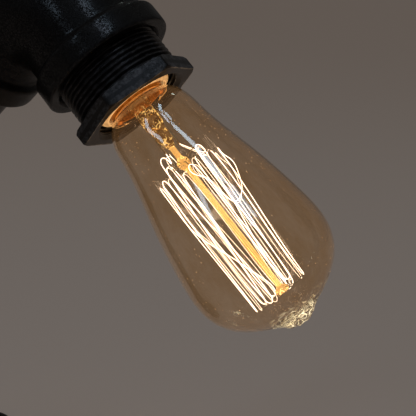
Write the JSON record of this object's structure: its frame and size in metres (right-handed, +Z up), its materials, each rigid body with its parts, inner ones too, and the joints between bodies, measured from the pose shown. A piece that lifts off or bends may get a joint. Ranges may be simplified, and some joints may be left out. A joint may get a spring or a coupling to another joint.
{
  "type": "industrial pipe table lamp",
  "caption": "Table lamp made of black iron pipe fittings on a round floor flange, with a handwheel switch, swivelling arm and head, and a bare teardrop filament bulb.",
  "frame": {"origin": "centre of the base pad's underside", "axes": "+Z up along the riser pipe, +X the side that the arm leans and the bulb shines towards, +Y to the left seen from the bulb's side"},
  "size_m": [0.2991, 0.127, 0.3644],
  "materials": {
    "felt_pad": "soft matte",
    "black_iron": "matte black, grainy casting",
    "black_pipe": "satin black",
    "insulating_board": "pressed board",
    "pale_nylon": "matte",
    "plated_steel": "plated",
    "cable_sheath": "satin",
    "core_insulation": "glossy",
    "switch_case": "moulded",
    "wheel_paint": "satin black, worn at the rim",
    "gland_plastic": "moulded",
    "seal_rubber": "matte",
    "porcelain": "glazed",
    "cream_shell": "satin cream",
    "brass": "rolled",
    "solder": "dull",
    "cement": "matte",
    "black_glass": "glossy",
    "amber_glass": "clear amber",
    "clear_glass": "clear",
    "hook_wire": "drawn wire",
    "glowing_carbon": "glowing"
  },
  "bodies": {
    "base": {"base_pad": "felt_pad", "floor_flange": "black_iron", "base_nipple": "black_pipe", "pipe_cross": "black_iron", "terminal_shelf": "insulating_board", "terminal_block": "pale_nylon", "terminal_block_screws": "plated_steel", "base_cable": "cable_sheath", "cable_tails": "core_insulation", "switch_leads": "core_insulation", "front_plug": "black_iron", "rotary_switch": "switch_case", "switch_washer": "plated_steel", "switch_nut": "plated_steel", "rear_plug": "black_iron", "cord_gland": "gland_plastic", "gland_locknut": "gland_plastic", "gland_seal": "seal_rubber", "gland_nut": "gland_plastic"},
    "wheel": {"switch_shaft": "plated_steel", "handwheel": "wheel_paint", "handwheel_screw": "plated_steel"},
    "arm": {"riser_pipe": "black_pipe", "elbow_45": "black_iron", "arm_nipple": "black_pipe", "arm_cable": "cable_sheath"},
    "head": {"elbow_90": "black_iron", "hex_bushing": "black_iron", "holder_retainer": "plated_steel", "holder_body": "porcelain", "holder_shell": "cream_shell", "holder_ring_nut": "plated_steel", "screw_shell": "brass", "centre_contact": "brass", "holder_terminals": "brass", "holder_terminal_screws": "plated_steel", "head_cable": "cable_sheath", "head_leads": "core_insulation"},
    "bulb_travel": {"cap_contact": "solder"},
    "bulb": {"bulb_glass": "amber_glass", "cap_shell": "brass", "cap_cement": "cement", "cap_insulator": "black_glass", "glass_stem": "clear_glass", "filament_hooks": "hook_wire", "filament": "glowing_carbon", "lead_in_wires": "hook_wire"}
  },
  "joints": [
    {"name": "switch_turn", "type": "hinge", "parent": "base", "child": "wheel", "pos_m": [0, 0, 0.1078], "axis": [1, 0, 0], "range_deg": [0, 270]},
    {"name": "arm_swing", "type": "hinge", "parent": "base", "child": "arm", "pos_m": [0, 0, 0.1078], "axis": [0, 0, 1], "range_deg": [-120, 120]},
    {"name": "head_turn", "type": "hinge", "parent": "arm", "child": "head", "pos_m": [0.08422, 0, 0.34922], "axis": [0.7071, 0, 0.7071], "range_deg": [-90, 90]},
    {"name": "bulb_out", "type": "slide", "parent": "head", "child": "bulb_travel", "axis": [0.7071, 0, -0.7071], "range_m": [0, 0.02177]},
    {"name": "bulb_unscrew", "type": "hinge", "parent": "bulb_travel", "child": "bulb", "pos_m": [0.13442, 0, 0.29901], "axis": [0.7071, 0, -0.7071], "range_deg": [0, 2160]}
  ],
  "couplings": [
    {"joint": "bulb_out", "follows": "bulb_unscrew", "m_per_rad": 0.00057757}
  ]
}
